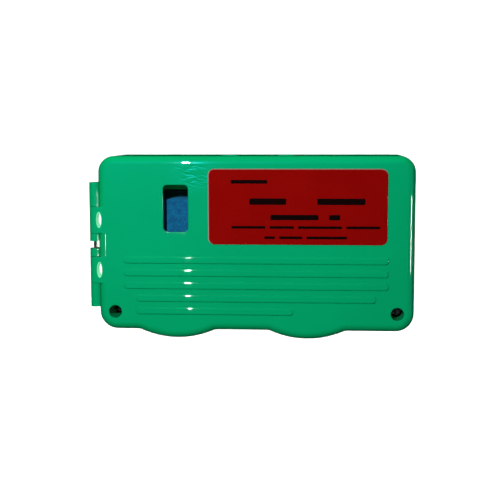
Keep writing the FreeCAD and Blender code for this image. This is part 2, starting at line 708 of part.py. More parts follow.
# Return spring between the slide's tab and the rear shell's post.
wire, coil = s.spring_wire.value, s.spring_radius.value
pitch = (s.spring_length.value - 2 * wire) / SPRING_TURNS
helix = Part.makeHelix(pitch, pitch * SPRING_TURNS, coil)
section = Part.Wire(Part.makeCircle(wire, FreeCAD.Vector(coil, 0, 0), FreeCAD.Vector(0, 1, 0)))
spring = doc.addObject("Part::Feature", "return_spring")
spring.Shape = Part.Wire(helix).makePipeShell([section], True, True)
spring.Placement = FreeCAD.Placement(
    FreeCAD.Vector(tab_face.value + wire, slide_middle.value, slide_top.value + 1.4),
    FreeCAD.Rotation(FreeCAD.Vector(0, 1, 0), 90))


def reel(label, place, low, flange_radius):
    """A hub with its lower flange, bored for the spindle."""
    body = new_body(label)
    discs(body, "flange", [place], flange_radius, seat_high, seat_high + s.flange_thick)
    discs(body, "hub", [place], s.hub_radius, low, tape_top + 0.2)
    bores(body, "bore", [place], s.spindle_radius + s.running_fit, low, tape_top + 0.2)
    sketch = new_sketch(body, "XY", "dish", tape_top + 0.2)
    circle(sketch, place[0], place[1], s.hub_radius - 1.2)
    circle(sketch, place[0], place[1], s.spindle_radius + 1.4)
    pocket(body, sketch, as_size(6.0))
    return body


# Supply reel with its roll of tape.
supply_hub = reel("supply_hub", supply, seat_high, s.supply_radius + 0.4)
drag_felt = new_body("drag_felt")
discs(drag_felt, "ring", [supply], s.hub_radius - 0.5, felt_low, felt_low + s.felt_thick)
bores(drag_felt, "bore", [supply], s.spindle_radius, felt_low, felt_low + s.felt_thick)

# Take-up reel with the ratchet wheel below it.
takeup_flange = s.supply_radius - 0.8
takeup_hub = reel("take_up_hub", takeup, ratchet_low, takeup_flange)
discs(takeup_hub, "ratchet", [takeup], s.ratchet_root, ratchet_low, ratchet_high)
step = math.radians(360.0 / RATCHET_TEETH)
face = math.pi / 2 + step
heel = face - step * 0.9
sketch = new_sketch(takeup_hub, "XY", "tooth", ratchet_low)
bind(sketch, "AttachmentOffset.Base.x", takeup[0])
bind(sketch, "AttachmentOffset.Base.y", takeup[1])
inside = s.ratchet_root - 1.0
polygon(sketch, [
    (inside * math.cos(face), inside * math.sin(face)),
    (s.ratchet_tip * math.cos(face), s.ratchet_tip * math.sin(face)),
    ((s.ratchet_root - 0.1) * math.cos(heel), (s.ratchet_root - 0.1) * math.sin(heel)),
])
tooth = pad(takeup_hub, sketch, ratchet_high - ratchet_low)
teeth = takeup_hub.newObject("PartDesign::PolarPattern", "take_up_hub_teeth")
teeth.Originals = [tooth]
teeth.Axis = (sketch, ["N_Axis"])
teeth.Angle = 360.0
teeth.Occurrences = RATCHET_TEETH
takeup_hub.Tip = teeth
bores(takeup_hub, "ratchet_bore", [takeup], s.spindle_radius + s.running_fit, ratchet_low, ratchet_high)


def roll(label, place, radius, ring_count):
    """A wound roll whose turns show as rings on its front face."""
    body = new_body(label)
    sketch = new_sketch(body, "XY", "ring", tape_floor)
    circle(sketch, place[0], place[1], s.hub_radius)
    circle(sketch, place[0], place[1], radius)
    pad(body, sketch, tape_top - tape_floor)
    sketch = new_sketch(body, "XY", "turns", tape_top)
    spacing = (radius - s.hub_radius) / ring_count
    for number in range(ring_count):
        middle = s.hub_radius + spacing * (number + 0.5)
        circle(sketch, place[0], place[1], middle)
        circle(sketch, place[0], place[1], middle + spacing * 0.3)
    pocket(body, sketch, as_size(0.15))
    return body


supply_tape = roll("supply_tape", supply, s.supply_radius, SUPPLY_RING_COUNT)
takeup_tape = roll("take_up_tape", takeup, s.takeup_radius, TAKEUP_RING_COUNT)

# Caps that keep the reels on their spindles.
supply_cap = new_body("reel_cap_supply")
takeup_cap = new_body("reel_cap_take_up")
for body, place in ((supply_cap, supply), (takeup_cap, takeup)):
    discs(body, "disc", [place], s.spindle_radius + 2.1, spindle_high + 0.2, spindle_high + 1.2)
    bores(body, "bore", [place], s.tip_radius, spindle_high + 0.2, spindle_high + 1.2)

# Guide rollers on steel pins.
guide_rollers = []
roller_low, roller_high = tape_floor - 0.8, tape_top + 0.8
rim_radius = s.roller_radius + s.roller_rim
for name, place in zip(("left", "right"), rollers):
    body = new_body("guide_roller_" + name)
    discs(body, "core", [place], s.roller_radius, roller_low, roller_high)
    discs(body, "low_rim", [place], rim_radius, roller_low, roller_low + 0.5)
    discs(body, "high_rim", [place], rim_radius, roller_high - 0.5, roller_high)
    bores(body, "bore", [place], s.roller_pin + s.running_fit, roller_low, roller_high)
    guide_rollers.append(body)
roller_pins = doc.addObject("Part::Compound", "roller_pins")
pin_list = []
for name, place in zip(("left", "right"), rollers):
    pin = doc.addObject("Part::Cylinder", "roller_pin_" + name)
    bind(pin, "Radius", s.roller_pin)
    bind(pin, "Height", tape_top + 1.6 - s.wall)
    bind(pin, "Placement.Base.x", place[0])
    bind(pin, "Placement.Base.y", place[1])
    bind(pin, "Placement.Base.z", s.wall)
    pin_list.append(pin)
roller_pins.Links = pin_list

# Pad bridge and cleaning pad under the tape, behind the cleaning slots.
bridge = new_body("pad_bridge")
box(bridge, "leg", (-s.leg_length / 2, s.leg_length / 2), (roller_y - 3.5, roller_y + 0.5),
    (s.wall, tape_top + 0.5))
box(bridge, "shelf", (-s.pad_length / 2, s.pad_length / 2), (roller_y - 0.5, tape_line - s.pad_thick),
    (tape_floor, tape_top + 0.5))
bores(bridge, "pegs", bridge_pegs, s.bridge_peg / 2, s.wall, s.wall + 5.0)
pad_block = new_body("cleaning_pad")
box(pad_block, "block", (-s.pad_length / 2, s.pad_length / 2), (tape_line - s.pad_thick, tape_line),
    (tape_floor + 0.4, tape_top - 0.4))


def belt_normal(first, first_radius, last, last_radius, side):
    """Direction from each axis to the straight run that touches both rounds on one side."""
    along = FreeCAD.Vector(last[0].value - first[0].value, last[1].value - first[1].value, 0)
    angle = math.atan2(along.y, along.x) + side * math.acos((first_radius - last_radius) / along.Length)
    return FreeCAD.Vector(math.cos(angle), math.sin(angle), 0)


# Free run of the tape: supply roll, left roller, pad, right roller, take-up roll.
gap = s.moving_gap.value
round_supply = s.supply_radius.value + gap
round_takeup = s.takeup_radius.value + gap
round_roller = s.roller_radius.value + gap
centres = [FreeCAD.Vector(x.value, y.value, 0) for x, y in (supply, rollers[0], rollers[1], takeup)]
normals = [
    belt_normal(supply, round_supply, rollers[0], round_roller, 1),
    FreeCAD.Vector(0, 1, 0),
    belt_normal(rollers[1], round_roller, takeup, round_takeup, 1),
]


def belt(extra):
    """The run's edges at one distance outside the rounds it passes."""
    small = round_roller + extra
    points = [
        centres[0] + normals[0] * (round_supply + extra),
        centres[1] + normals[0] * small,
        centres[1] + normals[1] * small,
        centres[2] + normals[1] * small,
        centres[2] + normals[2] * small,
        centres[3] + normals[2] * (round_takeup + extra),
    ]
    bends = []
    for middle, first, last in ((centres[1], 0, 1), (centres[2], 1, 2)):
        bends.append(middle + (normals[first] + normals[last]).normalize() * small)
    return points, [
        Part.makeLine(points[0], points[1]),
        Part.Arc(points[1], bends[0], points[2]).toShape(),
        Part.makeLine(points[2], points[3]),
        Part.Arc(points[3], bends[1], points[4]).toShape(),
        Part.makeLine(points[4], points[5]),
    ]


inner_points, inner_edges = belt(0.0)
outer_points, outer_edges = belt(s.tape_thick.value)
ends = [Part.makeLine(inner_points[0], outer_points[0]), Part.makeLine(inner_points[-1], outer_points[-1])]
strip = Part.Face(Part.Wire(Part.__sortEdges__(inner_edges + outer_edges + ends)))
tape_run = doc.addObject("Part::Feature", "tape_run")
tape_run.Shape = strip.extrude(FreeCAD.Vector(0, 0, (tape_top - tape_floor).value))
tape_run.Placement.Base = FreeCAD.Vector(0, 0, tape_floor.value)

# Brake leaf: a sprung strip from its post to the rim of the take-up flange.
leaf = new_body("brake_leaf")
sketch = new_sketch(leaf, "XY", "plan", seat_high)
rim_x = s.takeup_x + takeup_flange + s.moving_gap
polygon(sketch, [
    (post_x, post_low),
    (post_x, post_high),
    (rim_x + 0.7, s.reel_y - 1.0),
    (rim_x + 0.7, s.reel_y + 1.0),
    (rim_x, s.reel_y + 1.0),
    (rim_x, s.reel_y - 1.2),
    (post_x - 0.4, post_high - 0.2),
    (post_x - 0.4, post_low),
])
pad(leaf, sketch, s.flange_thick + 0.6)

# Recompute, check every object and write one file per node.
doc.recompute()
nodes = [
    front, rear, label, case_screws, hinge_pin, lever, slide, shutter, pawl, spring,
    supply_hub, supply_tape, drag_felt, takeup_hub, takeup_tape, supply_cap, takeup_cap,
    roller_pins, bridge, pad_block, tape_run, leaf,
] + guide_rollers
for item in doc.Objects:
    if "Invalid" in item.State or "Error" in item.State:
        raise RuntimeError(item.Label + " did not build: " + item.getStatusString())
os.makedirs("parts", exist_ok=True)
for item in nodes:
    if item.Shape.isNull() or not item.Shape.isValid():
        raise RuntimeError(item.Label + " has no valid shape")
    item.Shape.exportStep("parts/" + item.Label + ".step")
    print(item.Label, len(item.Shape.Solids), round(item.Shape.Volume, 1))
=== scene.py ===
# Looks of the fibre optic cleaning cassette: materials, wound tape, spring, label print, studio and camera.
import bmesh
import bpy
import json
import math
from mathutils import Matrix, Vector


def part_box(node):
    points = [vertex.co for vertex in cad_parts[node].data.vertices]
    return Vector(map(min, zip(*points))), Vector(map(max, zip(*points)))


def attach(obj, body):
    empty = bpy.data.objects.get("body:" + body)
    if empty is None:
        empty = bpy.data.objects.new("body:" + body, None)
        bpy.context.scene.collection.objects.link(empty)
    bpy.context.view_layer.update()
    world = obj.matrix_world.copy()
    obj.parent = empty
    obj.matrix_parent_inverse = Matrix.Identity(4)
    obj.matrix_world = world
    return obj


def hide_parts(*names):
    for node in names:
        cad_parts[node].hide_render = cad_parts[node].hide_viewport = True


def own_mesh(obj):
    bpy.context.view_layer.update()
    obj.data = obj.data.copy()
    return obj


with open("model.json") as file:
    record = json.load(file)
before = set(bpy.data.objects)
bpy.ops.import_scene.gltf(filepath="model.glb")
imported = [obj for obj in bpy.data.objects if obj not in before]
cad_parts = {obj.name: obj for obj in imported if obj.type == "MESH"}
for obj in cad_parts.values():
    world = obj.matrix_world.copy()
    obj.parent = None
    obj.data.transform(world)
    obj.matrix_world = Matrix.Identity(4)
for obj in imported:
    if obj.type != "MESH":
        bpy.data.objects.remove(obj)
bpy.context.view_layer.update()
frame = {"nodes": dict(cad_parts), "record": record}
nodes = frame["nodes"]
scene = bpy.context.scene
MM = 0.001
BLACK = (0, 0, 0, 1)

# Two oval eyelets beside the hinge, in millimetres, as the case's source has them.
# Their walls, which the case's material paints with a pale glow, are what lies in the ovals above the base.
HINGE_Y = -0.6
EYELET_X = -60.1
EYELET_FROM_HINGE = 9.65
EYELET_HALVES = (1.0, 2.95)
EYELET_BASE = 27.9

# Scuffed patch of the front face by its top edge, in millimetres.
SCUFF_MIDDLE = (-23.5, 28.0, 32)
SCUFF_RADIUS = 10

# Relief of the case's skin: the unit in millimetres, then heights and depths in that unit.
RELIEF_UNIT = 0.06
GRAIN_HEIGHT = 0.015
MARK_DEPTH = 0.06
SCUFF_DEPTH = 1.7

# Sockets of the Mix node when it mixes colours.
MIX_FACTOR, MIX_FIRST, MIX_SECOND = 0, 6, 7
MIX_RESULT = 2

# Distance between the bands of the wave texture at a scale of 1.
BAND_DISTANCE = 2 * math.pi / 20


# Helpers for node materials.


def material(name):
    """A new node material with its tree and its main shader."""
    made = bpy.data.materials.new(name)
    made.use_nodes = True
    return made, made.node_tree, made.node_tree.nodes["Principled BSDF"]


def put(tree, socket, value):
    """Links an output to a socket, or sets a plain value on it."""
    if isinstance(value, bpy.types.NodeSocket):
        tree.links.new(value, socket)
    else:
        socket.default_value = value


def add(tree, kind, inputs=None, **settings):
    """A node with its settings and its inputs, each a value or an output to link."""
    made = tree.nodes.new("ShaderNode" + kind)
    for name, value in settings.items():
        setattr(made, name, value)
    for name, value in (inputs or {}).items():
        put(tree, made.inputs[name], value)
    return made


def shade(tree, shader, **sockets):
    """Puts values or outputs on the shader's sockets, named with underscores for spaces."""
    for name, value in sockets.items():
        put(tree, shader.inputs[name.replace("_", " ")], value)


def surface_point(tree):
    """The place on the surface, in metres in the part's frame."""
    return add(tree, "TexCoord").outputs["Object"]


def noise(tree, scale, detail=2.0, rough=0.5, stretch=(1, 1, 1), turn=(0, 0, 0)):
    """Noise with that many features to the metre, stretched and then turned."""
    where = {"Vector": surface_point(tree), "Scale": stretch, "Rotation": turn}
    placed = add(tree, "Mapping", where, vector_type="TEXTURE").outputs[0]
    inputs = {"Vector": placed, "Scale": scale, "Detail": detail, "Roughness": rough}
    return add(tree, "TexNoise", inputs).outputs["Fac"]


def ramp(tree, factor, domain, result=(0.0, 1.0)):
    """A value that runs between the result's two ends while the factor runs between the domain's."""
    inputs = {"Value": factor, "From Min": domain[0], "From Max": domain[1]}
    inputs.update({"To Min": result[0], "To Max": result[1]})
    return add(tree, "MapRange", inputs).outputs[0]


def combine(tree, operation, first, second):
    """One number made of two."""
    return add(tree, "Math", {0: first, 1: second}, operation=operation).outputs[0]


def times(tree, first, second):
    return combine(tree, "MULTIPLY", first, second)


def vectors(tree, operation, first, second=(0, 0, 0), output="Vector"):
    """One vector made of one or two, or a number where the output is Value."""
    return add(tree, "VectorMath", {0: first, 1: second}, operation=operation).outputs[output]


def blend(tree, factor, first, second):
    """One colour that goes over into another by a factor."""
    inputs = {MIX_FACTOR: factor, MIX_FIRST: first, MIX_SECOND: second}
    return add(tree, "Mix", inputs, data_type="RGBA").outputs[MIX_RESULT]


def mottled(tree, pattern, first, second, domain=(0.3, 0.7)):
    """A colour that wanders between two with a pattern."""
    return blend(tree, ramp(tree, pattern, domain), first, second)


def rounded_normal(tree, radius):
    """A normal that rounds sharp edges."""
    return add(tree, "Bevel", {"Radius": radius}, samples=6).outputs[0]


def edge_mask(tree, radius):
    """1 along sharp edges, 0 elsewhere."""
    plain_normal = add(tree, "NewGeometry").outputs["Normal"]
    facing = vectors(tree, "DOT_PRODUCT", rounded_normal(tree, radius), plain_normal, "Value")
    return ramp(tree, facing, (0.995, 0.85))


def bump(tree, height, distance, strength, normal=None):
    """A normal tilted by a height, over the plain normal or another."""
    inputs = {"Height": height, "Distance": distance, "Strength": strength}
    if normal is not None:
        inputs["Normal"] = normal
    return add(tree, "Bump", inputs).outputs[0]


def scratches(tree, angles, least, soft, scale, length):
    """1 on scratches that run at several angles, 0 between them.

    A lower least gives more of them, and a higher soft gives them gentler sides.
    """
    lines = None
    for angle in angles:
        grain = noise(tree, scale, detail=1.0, rough=0.4, stretch=(1, length, 3), turn=(0, 0, angle))
        one = ramp(tree, grain, (least, least + soft))
        lines = one if lines is None else combine(tree, "MAXIMUM", lines, one)
    return lines


def patch(tree, middle, radius):
    """1 about a place in millimetres, fading to 0 at the radius."""
    full_share = 0.3
    away = vectors(tree, "DISTANCE", surface_point(tree), Vector(middle) * MM, "Value")
    return ramp(tree, away, (radius * MM, radius * full_share * MM))


# Materials of the case and label.


def painted_eyelet_glow(tree):
    """Mask of a painted glow: 1 on the walls of the two oval eyelets beside the hinge pin, 0 elsewhere."""
    at_wall, outside = 1.02, 1.06
    base, base_fade = EYELET_BASE * MM, 0.3 * MM
    between_eyelets = Vector((EYELET_X, HINGE_Y, 0)) * MM
    to_eyelet = Vector((0, EYELET_FROM_HINGE, 0)) * MM
    to_unit_circle = tuple(1 / (half * MM) for half in EYELET_HALVES) + (0,)
    point = surface_point(tree)
    mirrored = vectors(tree, "ABSOLUTE", vectors(tree, "SUBTRACT", point, between_eyelets))
    centred = vectors(tree, "SUBTRACT", mirrored, to_eyelet)
    reach = vectors(tree, "LENGTH", vectors(tree, "MULTIPLY", centred, to_unit_circle), output="Value")
    oval = ramp(tree, reach, (outside, at_wall))
    height = add(tree, "SeparateXYZ", {0: point}).outputs["Z"]
    return times(tree, oval, ramp(tree, height, (base, base + base_fade)))


def case_relief(tree, scuffed):
    """Height of a fine grain, less faint marks all over and deeper scuffs in the scuffed patch."""
    scuff_lines = scratches(tree, angles=(1.2, 1.8), least=0.52, soft=0.2, scale=1100, length=5)
    scuffs = times(tree, scuff_lines, times(tree, scuffed, SCUFF_DEPTH))
    mark_lines = scratches(tree, angles=(0.3, 2.2), least=0.74, soft=0.08, scale=3200, length=9)
    marks = times(tree, mark_lines, MARK_DEPTH)
    grain = times(tree, noise(tree, 2600), GRAIN_HEIGHT)
    return combine(tree, "SUBTRACT", grain, combine(tree, "MAXIMUM", scuffs, marks))


def green_plastic():
    """Moulded plastic with hazy gloss, faint flow, paler worn edges and a scuffed patch by the top edge.

    The walls of the eyelets glow pale green: painted light, an emission that stands in for light let through
    the thin plastic.
    """
    made, tree, shader = material("green_case")
    dark, bright, worn = (0.0, 0.378, 0.119, 1), (0.0, 0.405, 0.131, 1), (0.01, 0.50, 0.22, 1)
    edge_wear, scuff_gloss = 0.35, 0.24
    flow = noise(tree, 38, detail=3.0, rough=0.55, stretch=(1.6, 1, 1))
    wear = times(tree, edge_mask(tree, 0.3 * MM), edge_wear)
    scuffed = patch(tree, SCUFF_MIDDLE, SCUFF_RADIUS)
    haze = ramp(tree, noise(tree, 120, detail=4.0, rough=0.6), (0.3, 0.75), (0.52, 0.60))
    shade(
        tree, shader,
        Base_Color=blend(tree, wear, mottled(tree, flow, dark, bright), worn),
        Roughness=combine(tree, "SUBTRACT", haze, times(tree, scuffed, scuff_gloss)),
        Normal=bump(tree, case_relief(tree, scuffed), RELIEF_UNIT * MM, 0.8),
        # Painted glow: the eyelet walls emit pale green light, standing in for light let through the thin
        # plastic.
        Emission_Color=blend(tree, painted_eyelet_glow(tree), BLACK, (0.26, 0.62, 0.40, 1)),
        Emission_Strength=1.0,
        IOR=1.46,
        Specular_Tint=(0.02, 0.72, 1.0, 1),
        Coat_Weight=0.8,
        Coat_Roughness=0.02,
    )
    return made


def rim_highlight(tree):
    """Mask of a painted highlight: 1 on the label's outermost part, fading out away from its left and upper
    sides.
    """
    low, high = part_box("label_plate")
    middle, half = (low + high) / 2, (high - low) / 2
    corner, fade = 2.4 * MM, 2 * MM
    rim_start, rim_full = corner - 0.40 * MM, corner - 0.15 * MM
    left_share, upper_share = 0.9, 0.45
    # A whole metre upwards, so that only the label's outline counts.
    straight = (half.x - corner, half.y - corner, 1.0)
    from_middle = vectors(tree, "SUBTRACT", surface_point(tree), middle)
    beyond = vectors(tree, "SUBTRACT", vectors(tree, "ABSOLUTE", from_middle), straight)
    reach = vectors(tree, "LENGTH", vectors(tree, "MAXIMUM", beyond), output="Value")
    rim = ramp(tree, reach, (rim_start, rim_full))
    across = add(tree, "SeparateXYZ", {0: from_middle}).outputs
    left = ramp(tree, across["X"], (fade - half.x, -half.x), (0.0, left_share))
    upper = ramp(tree, across["Y"], (half.y - fade, half.y), (0.0, upper_share))
    return times(tree, rim, combine(tree, "MAXIMUM", left, upper))


def red_film():
    """Glossy dark red film with a painted highlight on its rim at the upper left, light haze and specks of
    dust.
    """
    made, tree, shader = material("label_red")
    dark, bright = (0.262, 0.002, 0.0015, 1), (0.290, 0.003, 0.002, 1)
    # pale is the colour of the painted highlight on the label's rim.
    dust, pale = (0.33, 0.05, 0.04, 1), (0.50, 0.44, 0.38, 1)
    body = mottled(tree, noise(tree, 55, detail=3.0, rough=0.6), dark, bright)
    specks = ramp(tree, noise(tree, 2400, detail=1.0), (0.76, 0.80), (0.0, 0.5))
    haze = noise(tree, 160, detail=4.0, rough=0.6)
    shade(
        tree, shader,
        # The rim at the left and upper sides is painted pale: a painted highlight where the key lamp catches
        # the label's edge.
        Base_Color=blend(tree, rim_highlight(tree), blend(tree, specks, body, dust), pale),
        Roughness=ramp(tree, haze, (0.3, 0.75), (0.04, 0.07)),
        Normal=bump(tree, noise(tree, 420), 0.006 * MM, 0.2),
        Specular_Tint=(1.0, 0.3, 0.25, 1),
    )
    return made


def black_ink():
    """Printed ink, a little broken where the print is thin."""
    made, tree, shader = material("print_black")
    full, broken = (0.006, 0.002, 0.002, 1), (0.10, 0.01, 0.008, 1)
    thin = ramp(tree, noise(tree, 3000, detail=3.0, rough=0.6), (0.62, 0.80), (0.0, 0.6))
    gloss = ramp(tree, noise(tree, 500, detail=3.0), (0.3, 0.7), (0.05, 0.09))
    shade(tree, shader, Base_Color=blend(tree, thin, full, broken), Roughness=gloss)
    return made


# Materials of the metal pieces.


def steel(name, color, rough, stretch):
    """Bright or dark steel with fine drawing lines along one way."""
    made, tree, shader = material(name)
    stain_share, rough_spread = 0.72, 0.18
    stained = tuple(part * stain_share for part in color) + (1,)
    lines = noise(tree, 2500, detail=3.0, rough=0.6, stretch=stretch)
    stain = noise(tree, 350, detail=3.0, rough=0.6)
    shade(
        tree, shader,
        Base_Color=mottled(tree, stain, color + (1,), stained, domain=(0.35, 0.7)),
        Roughness=ramp(tree, lines, (0.3, 0.7), (rough, rough + rough_spread)),
        Normal=bump(tree, lines, 0.02 * MM, 0.3, rounded_normal(tree, 0.08 * MM)),
        Metallic=1.0,
    )
    return made


# Materials of the inner pieces.


def moulded(name, color, rough):
    """Matt moulded plastic with a fine spark texture and softened edges."""
    made, tree, shader = material(name)
    gain, lift, rough_spread = 1.18, 0.004, 0.12
    lighter = tuple(min(1.0, part * gain + lift) for part in color) + (1,)
    grain = noise(tree, 3200, rough=0.6)
    tone = noise(tree, 90, detail=3.0)
    shade(
        tree, shader,
        Base_Color=mottled(tree, tone, color + (1,), lighter),
        Roughness=ramp(tree, tone, (0.3, 0.7), (rough, rough + rough_spread)),
        Normal=bump(tree, grain, 0.04 * MM, 0.35, rounded_normal(tree, 0.15 * MM)),
    )
    return made


def weave(tree, pitch):
    """Height of a plain weave with that distance between its bands, on sides that face any way."""
    directions = ("X", "Y", "Z")
    inputs = {"Scale": BAND_DISTANCE / pitch, "Distortion": 1.2, "Detail": 1.0, "Detail Scale": 2.0}
    inputs["Vector"] = surface_point(tree)
    threads = None
    for direction in directions:
        wave = add(tree, "TexWave", inputs, bands_direction=direction).outputs["Fac"]
        threads = wave if threads is None else combine(tree, "ADD", threads, wave)
    return times(tree, threads, 1 / len(directions))


def blue_cloth():
    """Woven microfibre tape: blue threads with pale fluff and uneven dye."""
    made, tree, shader = material("blue_tape")
    dark, bright, pale = (0.0, 0.085, 0.225, 1), (0.001, 0.150, 0.335, 1), (0.004, 0.25, 0.47, 1)
    dye = noise(tree, 420, detail=4.0, rough=0.65)
    fluff = noise(tree, 1700, detail=3.0, rough=0.7)
    body = mottled(tree, dye, dark, bright, domain=(0.36, 0.64))
    height = combine(tree, "ADD", weave(tree, 1.0053 * MM), fluff)
    shade(
        tree, shader,
        Base_Color=blend(tree, ramp(tree, fluff, (0.52, 0.74), (0.0, 0.75)), body, pale),
        Normal=bump(tree, height, 0.06 * MM, 0.5),
        Roughness=0.85,
        Specular_IOR_Level=0.2,
        Sheen_Weight=0.1,
        Sheen_Roughness=0.5,
        Sheen_Tint=(0.1, 0.55, 1.0, 1),
    )
    return made


def grey_felt():
    """Pressed felt with loose fibres."""
    made, tree, shader = material("felt")
    dark, pale = (0.22, 0.21, 0.19, 1), (0.38, 0.37, 0.34, 1)
    fibres = noise(tree, 1600, detail=4.0, rough=0.75, stretch=(1, 3, 1), turn=(0, 0, 0.7))
    shade(
        tree, shader,
        Base_Color=mottled(tree, fibres, dark, pale),
        Normal=bump(tree, fibres, 0.1 * MM, 0.8),
        Roughness=0.95,
        Sheen_Weight=0.4,
    )
    return made


def soft_rubber():
    """Fine-pored rubber of the cleaning pad."""
    made, tree, shader = material("pad_rubber")
    pore, skin = (0.022, 0.022, 0.024, 1), (0.060, 0.060, 0.062, 1)
    pores = ramp(tree, noise(tree, 2200), (0.35, 0.6))
    shade(
        tree, shader,
        Base_Color=blend(tree, pores, pore, skin),
        Normal=bump(tree, pores, 0.05 * MM, 0.6),
        Roughness=0.75,
    )
    return made


slots = {
    "green_case": green_plastic(),
    "label_red": red_film(),
    "screw_steel": steel("screw_steel", color=(0.13, 0.13, 0.14), rough=0.30, stretch=(1, 1, 10)),
    "pin_steel": steel("pin_steel", color=(0.46, 0.40, 0.38), rough=0.10, stretch=(1, 25, 1)),
    "dark_plastic": moulded("dark_plastic", color=(0.028, 0.031, 0.036), rough=0.48),
    "pale_plastic": moulded("pale_plastic", color=(0.66, 0.66, 0.62), rough=0.40),
    "blue_tape": blue_cloth(),
    "felt": grey_felt(),
    "pad_rubber": soft_rubber(),
}
for part in frame["record"]["subparts"]:
    mesh = nodes[part["node"]].data
    mesh.materials.clear()
    mesh.materials.append(slots[part["material_slot"]])


# Helpers for new pieces.


def piece(name, mesh, slot, body="case", look=None):
    """A new object in the slot that moves with the body and has the slot's material or another look."""
    made = bpy.data.objects.new(name, mesh)
    scene.collection.objects.link(made)
    mesh.materials.append(look or slots[slot])
    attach(made, body)
    return made


def mesh_from(name, verts, faces):
    """A smooth mesh."""
    made = bpy.data.meshes.new(name)
    made.from_pydata(verts, [], faces)
    made.shade_smooth()
    return made


def spun(profile, count, centre=(0, 0), closed=False):
    """Points and faces of a profile of radii and heights that is spun about an upright axis."""
    rows = len(profile)
    strips = rows if closed else rows - 1
    verts = []
    faces = []
    for step in range(count):
        angle = 2 * math.pi * step / count
        verts += [(centre[0] + r * math.cos(angle), centre[1] + r * math.sin(angle), z) for r, z in profile]
        here, there = step * rows, (step + 1) % count * rows
        faces += [(here + k, there + k, there + (k + 1) % rows, here + (k + 1) % rows) for k in range(strips)]
    return verts, faces


# Rolls of tape and the spring, which stand in for plain solids.


def wound_roll(node, body, turns):
    """A roll of tape whose turns stand unevenly proud at its upper end."""
    low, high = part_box(node)
    core, outer = 7.5 * MM, (high.x - low.x) / 2
    unevenness, groove, rim_drop = 0.05 * MM, 0.16 * MM, 0.2 * MM
    flat_from, flat_to = 0.12, 0.88
    sharp_angle = math.radians(40)
    thick = (outer - core) / turns
    profile = [(core, low.z)]
    for turn in range(turns):
        start = core + turn * thick
        # Two waves out of step, so that no two turns next to each other are alike.
        waver = math.sin(turn * 2.4) * math.cos(turn * 0.9)
        top = high.z - unevenness * (1 + waver)
        profile += [(start + flat_from * thick, top), (start + flat_to * thick, top)]
        profile.append((start + thick, high.z - groove))
    profile += [(outer, high.z - rim_drop), (outer, low.z)]
    verts, faces = spun(profile, count=128, centre=(low + high) / 2, closed=True)
    made = piece(node + "_wound", mesh_from(node + "_wound", verts, faces), "blue_tape", body)
    made.modifiers.new("edges", "EDGE_SPLIT").split_angle = sharp_angle
    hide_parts(node)


wound_roll("supply_tape", "supply_reel", 46)
wound_roll("take_up_tape", "take_up_reel", 9)


def wire_mesh(name, path, wire, around):
    """A wire of that radius along a path of centres, each with the way out from the coil's axis."""
    verts = []
    for centre, out in path:
        for k in range(around):
            angle = 2 * math.pi * k / around
            verts.append(centre + out * wire * math.cos(angle) + Vector((1, 0, 0)) * wire * math.sin(angle))
    faces = []
    for near in range(0, len(verts) - around, around):
        far = near + around
        for k in range(around):
            beside = (k + 1) % around
            faces.append((near + k, near + beside, far + beside, far + k))
    faces.append(tuple(range(around))[::-1])
    faces.append(tuple(range(len(verts) - around, len(verts))))
    return mesh_from(name, verts, faces)


def coil_spring():
    """Round wire with turns that lie closer at both ends."""
    low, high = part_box("return_spring")
    middle = (low + high) / 2
    wire = 0.22 * MM
    radius = (high.y - low.y) / 2 - wire
    length = high.x - low.x - 2 * wire
    turns, turn_steps, around = 9, 40, 10
    closing = 0.06
    steps = turns * turn_steps
    path = []
    for step in range(steps + 1):
        share = step / steps
        eased = share - closing * math.sin(2 * math.pi * share)
        angle = 2 * math.pi * step / turn_steps
        out = Vector((0, math.cos(angle), math.sin(angle)))
        path.append((Vector((low.x + wire + length * eased, middle.y, middle.z)) + out * radius, out))
    made = piece("coil_spring", wire_mesh("coil_spring", path, wire, around), "pin_steel")
    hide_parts("return_spring")
    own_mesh(made)


coil_spring()


# Label print: plain bars in rows where the label has print, with no lettering.
# Each row has its distance down, bar height, start, gap and bar lengths in millimetres.
PRINT_ROWS = [
    (4.9, 1.4, 8.7, 0.0, (13.9,)),
    (12.4, 2.4, 15.8, 11.7, (14.0, 18.1)),
    (18.4, 2.0, 23.8, 4.0, (18.2, 4.2)),
    (22.2, 1.0, 9.0, 1.6, (12.9, 9.2, 16.6, 12.7)),
    (26.1, 1.0, 21.5, 1.6, (4.0, 8.8, 15.3)),
]


def rounded_bar(left, right, low, high):
    """Outline of a bar with rounded corners."""
    corner_share, steps = 0.22, 6
    radius = (high - low) * corner_share
    outline = []
    for x, y, start in ((right, low, -90), (right, high, 0), (left, high, 90), (left, low, 180)):
        cx = x - radius if x == right else x + radius
        cy = y + radius if y == low else y - radius
        for step in range(steps + 1):
            angle = math.radians(start + 90 * step / steps)
            outline.append((cx + radius * math.cos(angle), cy + radius * math.sin(angle)))
    return outline


def raise_bar(bm, outline, base, height):
    """Adds a flat bar of that outline, from the base up."""
    face = bm.faces.new([bm.verts.new((x, y, base)) for x, y in outline])
    grown = bmesh.ops.extrude_face_region(bm, geom=[face])
    raised = [item for item in grown["geom"] if isinstance(item, bmesh.types.BMVert)]
    bmesh.ops.translate(bm, vec=(0, 0, height), verts=raised)


def printed_bars():
    """All bars of the label's print as one piece of ink."""
    ink_height = 0.02 * MM
    low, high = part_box("label_plate")
    bm = bmesh.new()
    for down, tall, start, gap, lengths in PRINT_ROWS:
        y = high.y - down * MM
        x = low.x + start * MM
        for length in lengths:
            outline = rounded_bar(x, x + length * MM, y - tall / 2 * MM, y + tall / 2 * MM)
            raise_bar(bm, outline, high.z, ink_height)
            x += (length + gap) * MM
    bmesh.ops.recalc_face_normals(bm, faces=bm.faces)
    mesh = bpy.data.meshes.new("label_print")
    bm.to_mesh(mesh)
    bm.free()
    piece("label_print", mesh, "label_red", look=black_ink())


printed_bars()


# Studio: white paper that curves up all round, a narrow key lamp at the upper left and soft fills.


